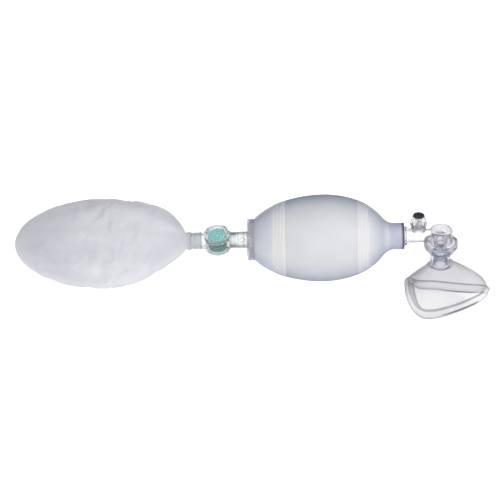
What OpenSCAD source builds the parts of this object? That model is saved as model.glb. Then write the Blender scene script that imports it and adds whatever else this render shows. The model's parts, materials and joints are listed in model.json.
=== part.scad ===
// Bag valve mask: squeeze bag with intake valve, reservoir valve and reservoir bag behind it,
// patient valve with relief valve in front of it, and a cushioned face mask below that.
//
// Assembly frame: the origin is where the bag axis meets the patient port axis, +X runs from
// the reservoir to the nose of the mask, +Z along the relief valve.  stand() then sets the
// whole device down on the mask cushion and the underside of the reservoir bag.

/* [Squeeze bag] */
// Largest diameter of the squeeze bag
bag_d = 131.2; // [120:0.2:140]
// Length of the bag ahead of its largest diameter, as a half ellipse
bag_front = 100; // [95:1:110]
// Length of the bag behind its largest diameter, as a half ellipse
bag_rear = 118; // [114:1:122]
// Wall of the squeeze bag
bag_wall = 2.8; // [2:0.1:3.5]
// Outer diameter of the neck
neck_d = 40; // [39:0.5:42]

/* [Reservoir bag] */
// Length from the widest place to the far end
res_far = 143; // [130:1:150]
// Length from the widest place to the shoulder at the neck
res_near = 124; // [118:1:128]
// Width of the filled bag
res_width = 148; // [140:1:160]
// Thickness of the filled bag
res_thick = 130.5; // [120:0.5:134]
// Wall of the reservoir film
film_wall = 0.5; // [0.4:0.1:0.8]

/* [Reservoir valve] */
// Diameter of the drum that holds the two flap valves
drum_d = 37; // [36:0.5:38]
// Diameter of each flap disc
flap_d = 28; // [24:0.5:28]
// Roll of the drum about the bag axis, in degrees
drum_roll = 12; // [0:1:30]
// Opening travel of every flap valve
flap_travel = 0.8; // [0.4:0.1:0.8]

/* [Patient valve] */
// Diameter of the clear cylinder above the union ring
dome_d = 34.4; // [33:0.2:36]
// Diameter of the union ring
union_d = 52; // [51:0.5:54]
// Outer diameter of the patient port
port_d = 22; // [22:1:22]
// Outer diameter of the exhalation port
exhale_d = 19; // [18:0.5:19]
// Distance of the relief valve from the port axis
relief_x = 34; // [32:0.5:35]
// Opening travel of the relief plunger
relief_travel = 3; // [1:0.5:3]

/* [Mask] */
// Length of the cushion's centre line
mask_len = 118; // [104:1:124]
// Width scale of the cushion's centre line
mask_w = 41.5; // [38:0.5:46]
// Largest thickness of the cushion across the face
cushion_w = 15; // [12:1:17]
// Cushion thickness towards the face
cushion_h = 15; // [12:1:17]
// Wall of the clear mask dome
mask_wall = 2; // [1.6:0.1:2.5]

/* [Stand] */
// Slope of the bag axis when the device stands on its mask and reservoir bag, in degrees
tilt = 7; // [7:1:7]

/* [Hidden] */
$fn = 72;
fit = 0.05;             // radial clearance of every running fit
eps = 0.1;              // how far a cutter runs past a face

stand_lift = 128.61;    // height of the axis crossing above the table
stand_shift = 276;   // from the middle of the length to the axis crossing

bag_r = bag_d / 2;
bag_mid = -177;         // X of the largest diameter
neck_r = neck_d / 2;
neck_end = -58;         // X where the rubber neck ends on the bush flange
lip_front = -281;       // X where the bag shoulder meets the collar
lip_end = -287.5;
lip_r = 30;
lip_in = 27.2;

bush_r = 13;            // swivel spigot of the patient valve
tube_r = 12.5;          // outer radius of the intake and reservoir valve tubes
tube_in = 9.4;
socket_r = 10.75;       // spigot of the reservoir valve in the intake tube
socket_end = -318;      // X of the intake tube's mouth
nipple_x = -301;
nipple_lean = 56;       // turn of the oxygen nipple from straight down towards the back
nipple_r = 3;

drum_x = -337;
drum_r = drum_d / 2;
drum_half = 13.2;       // half height of the drum
seat_t = 1.2;           // thickness of a flap seat in the drum
overflow_in = 7.6;      // inner face of the overflow seat, from the drum's middle
inlet_in = 12;          // inner face of the air inlet seat, on the other side
cuff_r = 11;            // spigot that the reservoir cuff turns on
cuff_front = -362;
cuff_end = -384;

res_mid = -505;         // X of the reservoir bag's widest place
res_neck_r = 13.2;
shoulder_rise = 7;      // how far the bag's shoulder stands above the axis
res_base = 67;          // half height that the width and thickness scales refer to

port_r = port_d / 2;
port_top = -33.2;       // Z where the bowl ends and the patient port starts
port_end = -53;
flange_z = -15.7;       // parting plane of the patient valve
floor_z = -13.2;        // valve floor that carries the lip valve
union_r = union_d / 2;
dome_r = dome_d / 2;
dome_top = 11.5;
dome_round = 4;         // rounding of the cylinder's upper edge
inlet_bore = 8.8;
bowl_r = 25.4;          // half axes of the bowl below the flange
bowl_deep = 19.5;
exhale_z = -27.6;
collar_r = 15.2;

cheek = 118;            // angle round the mask, from the nose, of the lowest place
cushion_low = -119.76;   // Z of the cushion's centre line there
chin_rise = 24.5;       // how far the cushion climbs from the cheeks to the chin
nose_rise = 11.1;       // how steeply it climbs to the nose
chin_x = -46.5;         // X of the centre line at the chin
chin_square = 0.64;     // 1 for a round chin, less for a squarer one

// ---- general shapes ----------------------------------------------------------------------

// Set the assembly down on the table.
module stand()
    translate([stand_shift, 0, stand_lift]) rotate([0, -tilt, 0]) children();

// Revolve an outline of [radius, x] points about the bag axis.
module lathe_x(outline) rotate([0, 90, 0]) rotate_extrude() polygon(outline);

// Revolve an outline of [radius, z] points about the Z axis.
module lathe_z(outline) rotate_extrude() polygon(outline);

// A plain tube along X.
module tube_x(x1, x2, r_out, r_in)
    lathe_x([[r_in, x1], [r_out, x1], [r_out, x2], [r_in, x2]]);

// A plain ring along Z.
module ring_z(z1, z2, r_out, r_in)
    lathe_z([[r_in, z1], [r_out, z1], [r_out, z2], [r_in, z2]]);

// Close a skin over rings of points; wrap joins the last ring to the first.
module skin(rings, wrap) {
    n = len(rings);
    m = len(rings[0]);
    last = wrap ? n - 1 : n - 2;
    sides = [for (i = [0:last], j = [0:m - 1])
        let (a = i * m + j, b = i * m + (j + 1) % m, k = ((i + 1) % n) * m,
             c = k + (j + 1) % m, d = k + j)
        each [[a, b, c], [a, c, d]]];
    caps = wrap ? [] : [[for (j = [m - 1:-1:0]) j], [for (j = [0:m - 1]) (n - 1) * m + j]];
    polyhedron([for (ring = rings) each ring], concat(sides, caps));
}

// Points of a quadratic curve from a to c that heads for b.
function curve(a, b, c, steps) = [for (i = [0:steps])
    let (t = i / steps) (1 - t) * (1 - t) * a + 2 * t * (1 - t) * b + t * t * c];

// ---- squeeze bag and intake valve (the root body) ----------------------------------------

// Outline of the bag from the neck to the rear shoulder, set in from the outside by "inset".
function bag_outline(inset) =
    let (r = bag_r - inset, front = bag_front - inset, rear = bag_rear - inset,
         turn = 28, stop = inset == 0 ? 149 : 151,
         joint = [r * sin(turn), bag_mid + front * cos(turn)],
         neck = neck_r - inset * 1.07,
         slope = r / front / tan(turn),
         knee = joint[1] + (joint[0] - neck) / slope)
    concat(
        [[neck, neck_end]],
        curve([neck, knee + 9], [neck, knee], joint, 6),
        [for (i = [1:14]) let (t = turn + (90 - turn) * i / 14)
            [r * sin(t), bag_mid + front * cos(t)]],
        [for (i = [1:14]) let (t = 90 + (stop - 90) * i / 14)
            [r * sin(t), bag_mid + rear * cos(t)]]);

module squeeze_bag() {
    outer = bag_outline(0);
    inner = bag_outline(bag_wall);
    color([0.80, 0.83, 0.88])
    lathe_x(concat(outer,
        [[lip_r, lip_front], [lip_r, lip_end], [lip_in, lip_end], [lip_in, lip_front + 1]],
        [for (i = [len(inner) - 1:-1:0]) inner[i]]));
}

module neck_bush()
    color([0.56, 0.56, 0.62])
    lathe_x([[bush_r + fit, -76], [neck_r - 3.05, -76], [neck_r - 3.05, neck_end],
        [neck_r + 0.4, neck_end], [neck_r + 0.4, neck_end + 2.5], [bush_r + fit, neck_end + 2.5]]);

module intake_housing()
    color([0.88, 0.92, 0.93])
    difference() {
        lathe_x([[socket_r + fit, socket_end], [tube_r, socket_end], [tube_r, -289],
            [lip_in - 0.1, -289], [lip_in - 0.1, -279], [24.05, -279], [24.05, -286.5],
            [socket_r + fit, -286.5]]);
        on_nipple() translate([0, 0, socket_r - 1])
            cylinder(r = nipple_r + fit, h = tube_r - socket_r + 2, $fn = 48);
    }

module intake_collar()
    color([0.78, 0.78, 0.81])
    union() {
        lathe_x([[tube_r + 0.1, -291], [31.4, -291], [31.4, lip_front], [lip_r + fit, lip_front],
            [lip_r + fit, -289.05], [tube_r + 0.1, -289.05]]);
        for (i = [0:11])
            rotate([30 * i, 0, 0]) translate([-290, -1, 31]) cube([7.5, 2, 1.1]);
    }

module intake_seat()
    color([0.90, 0.92, 0.93])
    difference() {
        tube_x(lip_front, lip_front + 1.5, 24, 1.55);
        for (i = [0:5])
            rotate([60 * i, 0, 0]) translate([lip_front - eps, 0, 7.5]) rotate([0, 90, 0])
                cylinder(r = 3, h = 1.5 + 2 * eps, $fn = 32);
    }

// Set children on the oxygen nipple's line, with Z leading away from the bag axis.
module on_nipple() translate([nipple_x, 0, 0]) rotate([180 + nipple_lean, 0, 0]) children();

module oxygen_nipple()
    color([0.88, 0.92, 0.93])
    on_nipple() lathe_z([[1.5, 11], [nipple_r, 11], [nipple_r, 12.9], [5, 12.9], [5, 13.8],
        [nipple_r, 14.8], [nipple_r, 29.4], [2.5, 30], [1.5, 30]]);

// ---- flap valves -------------------------------------------------------------------------

// A mushroom flap on +Z: disc from 0 upwards, stem down through the seat, knob below it.
module flap(disc_r, seat_t, stem_r = 1.5) {
    knob = -seat_t - flap_travel - 0.2;
    lathe_z([[0, 1.6], [2.2, 1.5], [3, 1.1], [disc_r - 0.6, 1.1], [disc_r, 0.7], [disc_r, 0],
        [stem_r, 0], [stem_r, knob], [2.3, knob], [2.3, knob - 0.7], [1.4, knob - 1.6],
        [0, knob - 1.6]]);
}

module intake_flap()
    color([0.62, 0.78, 0.78])
    translate([lip_front + 1.6, 0, 0]) rotate([0, 90, 0]) flap(11.5, 1.6);

// Set children on the drum's axis, with Z along it.
module on_drum() translate([drum_x, 0, 0]) rotate([drum_roll, 0, 0]) children();

module reservoir_valve_body()
    color([0.86, 0.90, 0.91])
    difference() {
        union() {
            lathe_x([[tube_in, cuff_end + 1], [cuff_r, cuff_end + 1], [cuff_r, cuff_front],
                [tube_r, cuff_front + 0.5], [tube_r, socket_end - 0.4],
                [socket_r, socket_end - 0.4], [socket_r, -309], [tube_in, -309]]);
            on_drum() translate([0, 0, -drum_half]) cylinder(r = drum_r, h = 2 * drum_half);
        }
        tube_cut();
        on_drum() translate([0, 0, -drum_half - 1])
            cylinder(r = drum_r - 1.5, h = 2 * drum_half + 2);
    }

// Clear way along the bag axis through the drum's walls.
module tube_cut()
    translate([drum_x - 30, 0, 0]) rotate([0, 90, 0]) cylinder(r = tube_in, h = 60);

// Perforated seat between two heights on the drum's axis.
module seat_plate(z1, z2)
    difference() {
        ring_z(z1, z2, drum_r - 1.55, 1.55);
        for (i = [0:7])
            rotate([0, 0, 45 * i]) translate([8.2, 0, z1 - eps])
                cylinder(r = 2.4, h = z2 - z1 + 2 * eps, $fn = 32);
    }

// Vented cap over the +Z end of the drum, with its skirt notched for the tube.
module drum_cap()
    difference() {
        lathe_z([[drum_r + fit, 9.5], [drum_r + 1.6, 9.5], [drum_r + 1.6, 14.4],
            [drum_r - 0.2, 15.8], [8, 17.2], [0, 17.2], [0, 16], [8, 16], [drum_r - 1, 14.6],
            [drum_r + fit, 13.3]]);
        translate([-30, 0, 0]) rotate([0, 90, 0]) cylinder(r = tube_r + 0.25, h = 60);
        for (i = [0:11])
            rotate([0, 0, 30 * i]) translate([15.3, 0, 12])
                cylinder(r = 1.3, h = 6, $fn = 24);
    }

module overflow_seat()
    color([0.86, 0.90, 0.91]) on_drum() seat_plate(overflow_in, overflow_in + seat_t);

module air_inlet_seat()
    color([0.86, 0.90, 0.91]) on_drum() seat_plate(-inlet_in - seat_t, -inlet_in);

module overflow_cap() color([0.84, 0.88, 0.89]) on_drum() drum_cap();

module air_inlet_cap()
    color([0.84, 0.88, 0.89]) on_drum() rotate([180, 0, 0]) drum_cap();

module overflow_flap()
    color([0.30, 0.62, 0.62])
    on_drum() translate([0, 0, overflow_in + seat_t + 0.1]) flap(flap_d / 2, seat_t + 0.1);

module air_inlet_flap()
    color([0.30, 0.62, 0.62])
    on_drum() translate([0, 0, -inlet_in + 0.1]) flap(flap_d / 2, seat_t + 0.1);

// ---- reservoir bag -----------------------------------------------------------------------

module reservoir_cuff()
    color([0.71, 0.72, 0.76])
    lathe_x([[cuff_r + fit, cuff_end], [12.6, cuff_end], [12.6, cuff_front - 2.4],
        [13.2, cuff_front - 2], [13.2, cuff_front - 0.8], [12.8, cuff_front - 0.4],
        [cuff_r + fit, cuff_front - 0.4]]);

module film_clamp_ring()
    color([0.74, 0.75, 0.79])
    tube_x(-382.5, -378.5, 14.1, res_neck_r + 0.05);

// Station along the reservoir bag: [x, half height], t = 0 at the neck and 180 at the far end.
function res_station(t, inset) = t < 90
    ? [res_mid + (res_near - inset) * pow(cos(t), 2 / 1.75),
       (res_base - inset) * pow(sin(t), 2 / 1.75)]
    : [res_mid + (res_far - inset) * cos(t), (res_base - inset) * sin(t)];

// Ring of points round the bag axis at a station, from round at the neck to oval.  The
// shoulder by the neck stands a little above the axis.
function res_ring(x, h) =
    let (f = min(1, max(0, (h - res_neck_r) / 25)),
         w = h * (1 + f * (res_width / 2 / res_base - 1)),
         t = h * (1 + f * (res_thick / 2 / res_base - 1)),
         along = min(1, max(0, (res_mid + res_near - x) / res_near)),
         rise = f * shoulder_rise * (1 + cos(180 * along)) / 2)
    [for (j = [0:31]) [x, w * cos(11.25 * j), rise + t * sin(11.25 * j)]];

function res_rings(inset) = concat(
    [for (x = [-378, -386]) res_ring(x, res_neck_r - inset)],
    [for (i = [0:20]) let (s = res_station(17 + 161.5 * i / 20, inset)) res_ring(s[0], s[1])]);

module reservoir_film() {
    outer = res_rings(0);
    inner = res_rings(film_wall);
    color([0.82, 0.83, 0.86])
    skin(concat([for (i = [len(inner) - 1:-1:0]) inner[i]], outer), false);
}

// ---- patient valve -----------------------------------------------------------------------

// Quarter arc from radius r at height z1 - round up to height z1.
function top_edge(r, z1, round) = [for (t = [0:15:90])
    [r - round + round * cos(t), z1 - round + round * sin(t)]];

module valve_upper_housing()
    color([0.90, 0.90, 0.93])
    difference() {
        union() {
            lathe_x([[0, -74], [bush_r, -74], [bush_r, -55], [15, -55], [15, -53.4],
                [13.6, -52.4], [11.6, -46.5], [10.8, -40], [10.4, -12], [0, -12]]);
            lathe_z(concat([[0, flange_z + 0.4], [union_r - 1.6, flange_z + 0.4],
                [union_r - 1.6, flange_z + 2.8], [dome_r + 1.2, flange_z + 2.8],
                [dome_r, flange_z + 4]], top_edge(dome_r, dome_top, dome_round),
                [[0, dome_top]]));
            translate([-relief_x, 0, 0]) cylinder(r = 10.5, h = 20);
        }
        // inside of the inlet tube, the cylinder and the relief tower
        translate([-75, 0, 0]) rotate([0, 90, 0]) cylinder(r = inlet_bore, h = 70);
        lathe_z(concat([[9.7, floor_z - 0.1], [dome_r - 1.7, floor_z - 0.1]],
            top_edge(dome_r - 1.7, dome_top - 1.8, dome_round - 1.7),
            [[0, dome_top - 1.8], [0, floor_z + 9.6], [9.7, floor_z + 9.6]]));
        translate([0, 0, floor_z]) cylinder(r = 8.6, h = 12);
        translate([0, 0, floor_z - 3]) cylinder(r = 7, h = 6);
        translate([-relief_x, 0, 0]) cylinder(r = 5, h = 14);
        translate([-relief_x, 0, 13.5]) cylinder(r = 9, h = 7);
    }

// Half an ellipse of the bowl, from the flange down to radius r_end, set in by "inset".
function bowl(inset, r_start, r_end) =
    let (a = bowl_r - inset, c = bowl_deep - inset, t1 = acos(r_start / a), t2 = acos(r_end / a))
    [for (i = [0:8]) let (t = t1 + (t2 - t1) * i / 8) [a * cos(t), flange_z - 0.3 - c * sin(t)]];

module valve_lower_housing()
    color([0.76, 0.77, 0.83])
    difference() {
        union() {
            lathe_z(concat([[0, flange_z], [union_r - 1.6, flange_z],
                [union_r - 1.6, flange_z - 2.2]], bowl(0, 25.2, 15.8),
                [[15, port_top], [port_r, port_top], [port_r, port_end], [0, port_end]]));
            translate([0, 16, exhale_z]) rotate([-90, 0, 0])
                cylinder(r = exhale_d / 2, h = 24);
            translate([0, union_r + 0.4, exhale_z]) rotate([-90, 0, 0])
                cylinder(r = exhale_d / 2 + 1.5, h = 1.6);
        }
        lathe_z(concat([[0, flange_z + eps], [22.6, flange_z + eps]], bowl(2, 22.6, 13.4),
            [[10.2, -31.4], [10.2, -25], [8.8, -23.6], [8.8, port_end - eps],
             [0, port_end - eps]]));
        translate([0, 15, exhale_z]) rotate([-90, 0, 0])
            cylinder(r = exhale_d / 2 - 1.7, h = 26);
    }

module valve_gasket()
    color([0.42, 0.42, 0.46]) ring_z(flange_z, flange_z + 0.4, 23.8, 22.8);

// Clamping ring round the parting line, notched for the inlet tube.
module union_ring()
    color([0.82, 0.82, 0.87])
    difference() {
        translate([0, 0, flange_z])
            lathe_z([[union_r - 1.55, -2.2], [union_r, -1.8], [union_r, 3.4],
                [union_r - 0.6, 4], [21, 4], [21, 2.85], [union_r - 1.55, 2.85]]);
        translate([-union_r - 4, 0, 0]) rotate([0, 90, 0]) cylinder(r = 11.1, h = 12);
    }

module on_relief() translate([-relief_x, 0, 0]) children();

// Clear tower with a flared skirt round the relief valve.
module relief_housing()
    color([0.84, 0.84, 0.88])
    difference() {
        on_relief() lathe_z([[10.55, 12.2], [11.9, 12.2], [11.9, 20.4], [13, 21.6], [13, 23.6],
            [9.1, 35.2], [4.05, 35.2], [4.05, 33.6], [7.6, 33.6], [10.55, 24]]);
        on_relief() for (i = [0:7])
            rotate([0, 0, 45 * i + 22.5]) translate([7.5, -0.8, 25.2]) cube([8, 1.6, 6]);
    }

module relief_plunger()
    color([0.93, 0.93, 0.90])
    on_relief() lathe_z([[0, 13.7], [7.4, 13.7], [7.4, 15], [2.6, 15], [2.2, 16], [2.2, 26],
        [0, 26]]);

// Helix round the relief stem.
module relief_spring() {
    turns = 5.5;
    steps = 16;
    wire = 0.45;
    coil_r = 4.6;
    low = 15.6;
    high = 33.2;
    rings = [for (i = [0:turns * steps])
        let (a = 360 * i / steps, z = low + (high - low) * i / (turns * steps))
        [for (j = [0:5]) let (b = 60 * j, r = coil_r + wire * cos(b))
            [r * cos(a), r * sin(a), z + wire * sin(b)]]];
    color([0.75, 0.75, 0.77]) on_relief() skin(rings, false);
}

module relief_cap()
    color([0.18, 0.18, 0.19])
    difference() {
        on_relief() lathe_z([[0, 33.6], [4, 33.6], [4, 35.4], [8.7, 35.4], [8.8, 36.2],
            [8.2, 36.8], [0, 37]]);
        on_relief() translate([-5.5, -0.6, 36.4]) cube([11, 1.2, 2]);
    }

module lip_valve()
    color([0.93, 0.86, 0.80])
    difference() {
        translate([0, 0, floor_z + 0.1])
            lathe_z([[8.3, 0], [8.3, 1.2], [6.6, 1.2], [5.4, 0.2], [2.3, -8.6], [0, -8.6],
                [0, -9.8], [3.2, -9.8], [6.6, -0.8], [6.6, 0]]);
        translate([-5, -0.15, floor_z - 10]) cube([10, 0.3, 3]);
    }

// ---- mask --------------------------------------------------------------------------------

module mask_connector()
    color([0.80, 0.82, 0.86])
    lathe_z([[port_r + fit, -33.7], [collar_r - 0.4, -33.7], [collar_r, -34.3],
        [collar_r, -48.4],
        [20.4, -49.2], [20.8, -50], [20.4, -50.6], [collar_r, -50.6], [collar_r, -55],
        [9.5, -55], [9.5, -53.6], [port_r + fit, -53.6]]);

// Half width of the mask's front part at angle g.
function front_width(g) = mask_w * sin(g) * (0.77 - 0.49 * cos(g) + 0.21 * cos(g) * cos(g));

// Centre line of the cushion: a teardrop, f = 0 at the nose and 180 at the square chin.
function teardrop(f) =
    let (g = f > 180 ? 360 - f : f, side = f > 180 ? -1 : 1,
         cheek_x = 12 + mask_len / 2 * cos(cheek),
         t = 90 * (g - cheek) / (180 - cheek))
    g <= cheek
    ? [12 + mask_len / 2 * cos(g), side * front_width(g),
       cushion_low + nose_rise * (1 - cos(g - cheek))]
    : [cheek_x + (chin_x - cheek_x) * pow(max(0, sin(t)), chin_square),
       side * front_width(cheek) * pow(max(0, cos(t)), chin_square),
       cushion_low + chin_rise * pow(sin(t), 2)];

// Unit vector across the centre line, pointing away from the middle of the mask.
function outward(f) = let (d = teardrop(f + 1) - teardrop(f - 1), l = norm([d[0], d[1]]))
    [d[1] / l, -d[0] / l, 0];

// Half width of the cushion, slimmer at the nose.
function cushion_half(f) = cushion_w / 2 * (0.8 - 0.2 * cos(f));

// Point on the dome's outside: s = 0 at the connector and 1 at the cushion.
function dome_point(f, s) =
    let (top = [16.6 * cos(f), 16.6 * sin(f), -52.6 + 1.6 * cos(f)],
         base = teardrop(f) + outward(f) * 0.35 * cushion_half(f) + [0, 0, 0.42 * cushion_h],
         side = sin(90 * s),
         round_drop = 1 - cos(90 * s),
         line = 0.36 + 0.5 * pow((1 - cos(f)) / 2, 3),
         drop = (1 - line) * round_drop + line * side)
    [top[0] + (base[0] - top[0]) * side, top[1] + (base[1] - top[1]) * side,
     top[2] + (base[2] - top[2]) * drop];

module mask_dome() {
    steps = 9;
    rings = [for (i = [0:59])
        let (f = 354 - 6 * i, out = outward(f))
        concat(
            [[15.3 * cos(f), 15.3 * sin(f), -52.6 + 1.6 * cos(f)]],
            [for (k = [0:steps]) dome_point(f, k / steps)],
            [for (k = [steps:-1:0])
                let (s = k / steps)
                dome_point(f, s) - mask_wall * [out[0] * sin(75 * s), out[1] * sin(75 * s),
                    cos(75 * s)]],
            [[15.3 * cos(f), 15.3 * sin(f), -52.6 - mask_wall + 1.6 * cos(f)]])];
    color([0.91, 0.90, 0.91]) skin(rings, true);
}

module mask_cushion() {
    rings = [for (i = [0:59])
        let (f = 6 * i, c = teardrop(f), out = outward(f))
        [for (j = [0:17]) let (a = 20 * j)
            c + out * cushion_half(f) * cos(a) + [0, 0, cushion_h / 2 * sin(a)]]];
    color([0.86, 0.85, 0.87]) skin(rings, true);
}

module inflation_plug() {
    c = teardrop(0);
    color([0.90, 0.90, 0.92])
    translate([c[0] + cushion_half(0) - 1.5, 0, c[2] + 1.5]) rotate([0, 68, 0])
        lathe_z([[0, 0], [2.6, 0], [2.6, 2.6], [3.4, 2.9], [3.4, 4.2], [2.8, 4.7], [0, 4.7]]);
}

// ---- drawing -----------------------------------------------------------------------------

stand() squeeze_bag();
stand() neck_bush();
stand() intake_housing();
stand() intake_collar();
stand() intake_seat();
stand() oxygen_nipple();
stand() intake_flap();
stand() reservoir_valve_body();
stand() overflow_seat();
stand() overflow_cap();
stand() air_inlet_seat();
stand() air_inlet_cap();
stand() overflow_flap();
stand() air_inlet_flap();
stand() reservoir_cuff();
stand() film_clamp_ring();
stand() reservoir_film();
stand() valve_upper_housing();
stand() valve_lower_housing();
stand() valve_gasket();
stand() union_ring();
stand() relief_housing();
stand() relief_spring();
stand() relief_plunger();
stand() relief_cap();
stand() lip_valve();
stand() mask_connector();
stand() mask_dome();
stand() mask_cushion();
stand() inflation_plug();
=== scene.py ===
"""Bag valve mask: soft pieces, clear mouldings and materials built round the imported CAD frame.

Shapes are written in the device's own frame, in millimetres: the origin is where the bag axis
meets the patient port axis, X runs towards the nose of the mask and Z along the relief valve.
TO_ROW carries them into the row frame, and comes from two of the record's joints.
"""
import json
import math

import bmesh
import bpy
import numpy as np
from mathutils import Matrix, Vector


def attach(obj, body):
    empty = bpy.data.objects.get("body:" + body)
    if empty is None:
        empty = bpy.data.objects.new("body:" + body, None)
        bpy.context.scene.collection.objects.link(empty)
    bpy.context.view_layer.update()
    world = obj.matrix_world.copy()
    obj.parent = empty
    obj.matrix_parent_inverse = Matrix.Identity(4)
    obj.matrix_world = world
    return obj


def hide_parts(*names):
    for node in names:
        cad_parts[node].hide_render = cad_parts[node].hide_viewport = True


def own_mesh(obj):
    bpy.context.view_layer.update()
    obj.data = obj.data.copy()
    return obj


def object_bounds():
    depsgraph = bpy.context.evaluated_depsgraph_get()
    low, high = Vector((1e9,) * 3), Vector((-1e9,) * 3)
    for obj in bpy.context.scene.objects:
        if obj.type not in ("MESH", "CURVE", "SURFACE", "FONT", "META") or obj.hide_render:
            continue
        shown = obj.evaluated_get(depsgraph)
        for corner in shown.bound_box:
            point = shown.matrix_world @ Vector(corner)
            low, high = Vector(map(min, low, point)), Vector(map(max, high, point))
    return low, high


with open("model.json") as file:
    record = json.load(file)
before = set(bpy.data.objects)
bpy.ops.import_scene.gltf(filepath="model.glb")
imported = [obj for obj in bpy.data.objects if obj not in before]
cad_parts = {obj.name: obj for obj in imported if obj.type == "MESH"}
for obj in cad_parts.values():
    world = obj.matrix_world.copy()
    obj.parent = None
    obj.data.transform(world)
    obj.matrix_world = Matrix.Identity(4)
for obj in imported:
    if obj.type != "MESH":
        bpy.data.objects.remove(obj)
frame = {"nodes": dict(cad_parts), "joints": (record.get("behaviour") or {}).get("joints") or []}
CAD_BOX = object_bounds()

MM = 0.001
JOINTS = {j["name"]: j for j in frame["joints"]}
NODES = frame["nodes"]


# ---- the device's own frame ----------------------------------------------------------------

MASK_JOINT_Z = -45 * MM          # where the mask swivel's point lies on the port axis


def device_frame():
    """Matrix from the device's own frame to the row frame."""
    x = Vector(JOINTS["patient_valve_swivel"]["axis"]).normalized()
    z = Vector(JOINTS["mask_swivel"]["axis"]).normalized()
    y = z.cross(x)
    origin = Vector(JOINTS["mask_swivel"]["pos_m"]) - z * MASK_JOINT_Z
    turn = Matrix((x, y, z)).transposed().to_4x4()
    return Matrix.Translation(origin) @ turn


TO_ROW = device_frame()


def lerp(a, b, t):
    return a + (b - a) * t


def smooth_step(t):
    t = min(1.0, max(0.0, t))
    return t * t * (3 - 2 * t)


# ---- materials -----------------------------------------------------------------------------

# painted shade: the dark colour that clear plastic turns to at its silhouette
CLEAR_EDGE_SHADE = (0.05, 0.05, 0.07)
RAMP_ENDS = (0.3, 0.7)           # where the two tones of a cloudy colour are pure
MIX_COLOR_A = 6                  # a mix node's colour sockets, whose names are not unique
MIX_COLOR_B = 7
MIX_COLOR_OUT = 2


def make_material(name, color, **inputs):
    """A Principled material; inputs are socket names with _ for spaces."""
    mat = bpy.data.materials.new(name)
    mat.use_nodes = True
    bsdf = mat.node_tree.nodes["Principled BSDF"]
    bsdf.inputs["Base Color"].default_value = (*color, 1)
    for key, value in inputs.items():
        bsdf.inputs[key.replace("_", " ")].default_value = value
    return mat


def add_node(mat, kind, **values):
    """A shader node; values go to its sockets by name, or else to its own settings."""
    node = mat.node_tree.nodes.new(kind)
    for key, value in values.items():
        if key in node.inputs:
            node.inputs[key].default_value = value
        else:
            setattr(node, key, value)
    return node


def noise(mat, scale, detail=3.0, rough=0.55, stretch=(1, 1, 1)):
    """Noise in the piece's own coordinates; returns its Fac output."""
    links = mat.node_tree.links
    coords = add_node(mat, "ShaderNodeTexCoord")
    mapping = add_node(mat, "ShaderNodeMapping")
    mapping.inputs["Scale"].default_value = stretch
    tex = add_node(mat, "ShaderNodeTexNoise", Scale=scale, Detail=detail, Roughness=rough)
    links.new(coords.outputs["Object"], mapping.inputs["Vector"])
    links.new(mapping.outputs["Vector"], tex.inputs["Vector"])
    return tex.outputs["Fac"]


def vary_color(mat, fac, dark, light):
    """Base colour between two tones, by a factor."""
    ramp = add_node(mat, "ShaderNodeValToRGB")
    for stop, position, tone in zip(ramp.color_ramp.elements, RAMP_ENDS, (dark, light)):
        stop.position = position
        stop.color = (*tone, 1)
    bsdf = mat.node_tree.nodes["Principled BSDF"]
    mat.node_tree.links.new(fac, ramp.inputs["Fac"])
    mat.node_tree.links.new(ramp.outputs["Color"], bsdf.inputs["Base Color"])


def vary_rough(mat, fac, low, high):
    """Roughness between two values, by a factor."""
    ranged = add_node(mat, "ShaderNodeMapRange")
    ranged.inputs["To Min"].default_value = low
    ranged.inputs["To Max"].default_value = high
    bsdf = mat.node_tree.nodes["Principled BSDF"]
    mat.node_tree.links.new(fac, ranged.inputs["Value"])
    mat.node_tree.links.new(ranged.outputs["Result"], bsdf.inputs["Roughness"])


def add_bump(mat, fac, strength, distance):
    """Surface relief from a factor; distance is in metres."""
    bump = add_node(mat, "ShaderNodeBump", Strength=strength, Distance=distance)
    bsdf = mat.node_tree.nodes["Principled BSDF"]
    mat.node_tree.links.new(fac, bump.inputs["Height"])
    mat.node_tree.links.new(bump.outputs["Normal"], bsdf.inputs["Normal"])


def paint_edge_shade(mat, edge, shape=2.6):
    """Painted shade at the silhouette: the base colour turns towards a dark edge colour where the
    eye looks along the wall. A wall seen edge-on is only a little darker by itself; the rest stands
    in for the dark rims that refraction and reflection give clear plastic, and for the bag's
    shading towards its outline.
    """
    bsdf = mat.node_tree.nodes["Principled BSDF"]
    links = mat.node_tree.links
    tone = bsdf.inputs["Base Color"].links[0].from_socket
    weight = add_node(mat, "ShaderNodeLayerWeight", Blend=0.5)
    power = add_node(mat, "ShaderNodeMath", operation="POWER")
    power.inputs[1].default_value = shape
    mix = add_node(mat, "ShaderNodeMix", data_type="RGBA")
    links.new(weight.outputs["Facing"], power.inputs[0])
    links.new(power.outputs[0], mix.inputs["Factor"])
    links.new(tone, mix.inputs[MIX_COLOR_A])
    mix.inputs[MIX_COLOR_B].default_value = (*edge, 1)
    links.new(mix.outputs[MIX_COLOR_OUT], bsdf.inputs["Base Color"])
    return mat


def silicone(name, dark, light, rough, transmission, grain, edge=None, shape=1.9):
    """Milky silicone rubber: cloudy tone, soft gloss and a fine moulded grain; an edge colour adds
    painted shade at its silhouette.
    """
    mat = make_material(name, light, Transmission_Weight=transmission, IOR=1.41,
                        Specular_IOR_Level=0.45)
    vary_color(mat, noise(mat, scale=22, detail=2), dark, light)
    vary_rough(mat, noise(mat, scale=60, detail=3), rough - 0.05, rough + 0.07)
    add_bump(mat, noise(mat, scale=900, detail=2), grain, distance=0.0002)
    if edge:
        paint_edge_shade(mat, edge, shape)
    return mat


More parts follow.
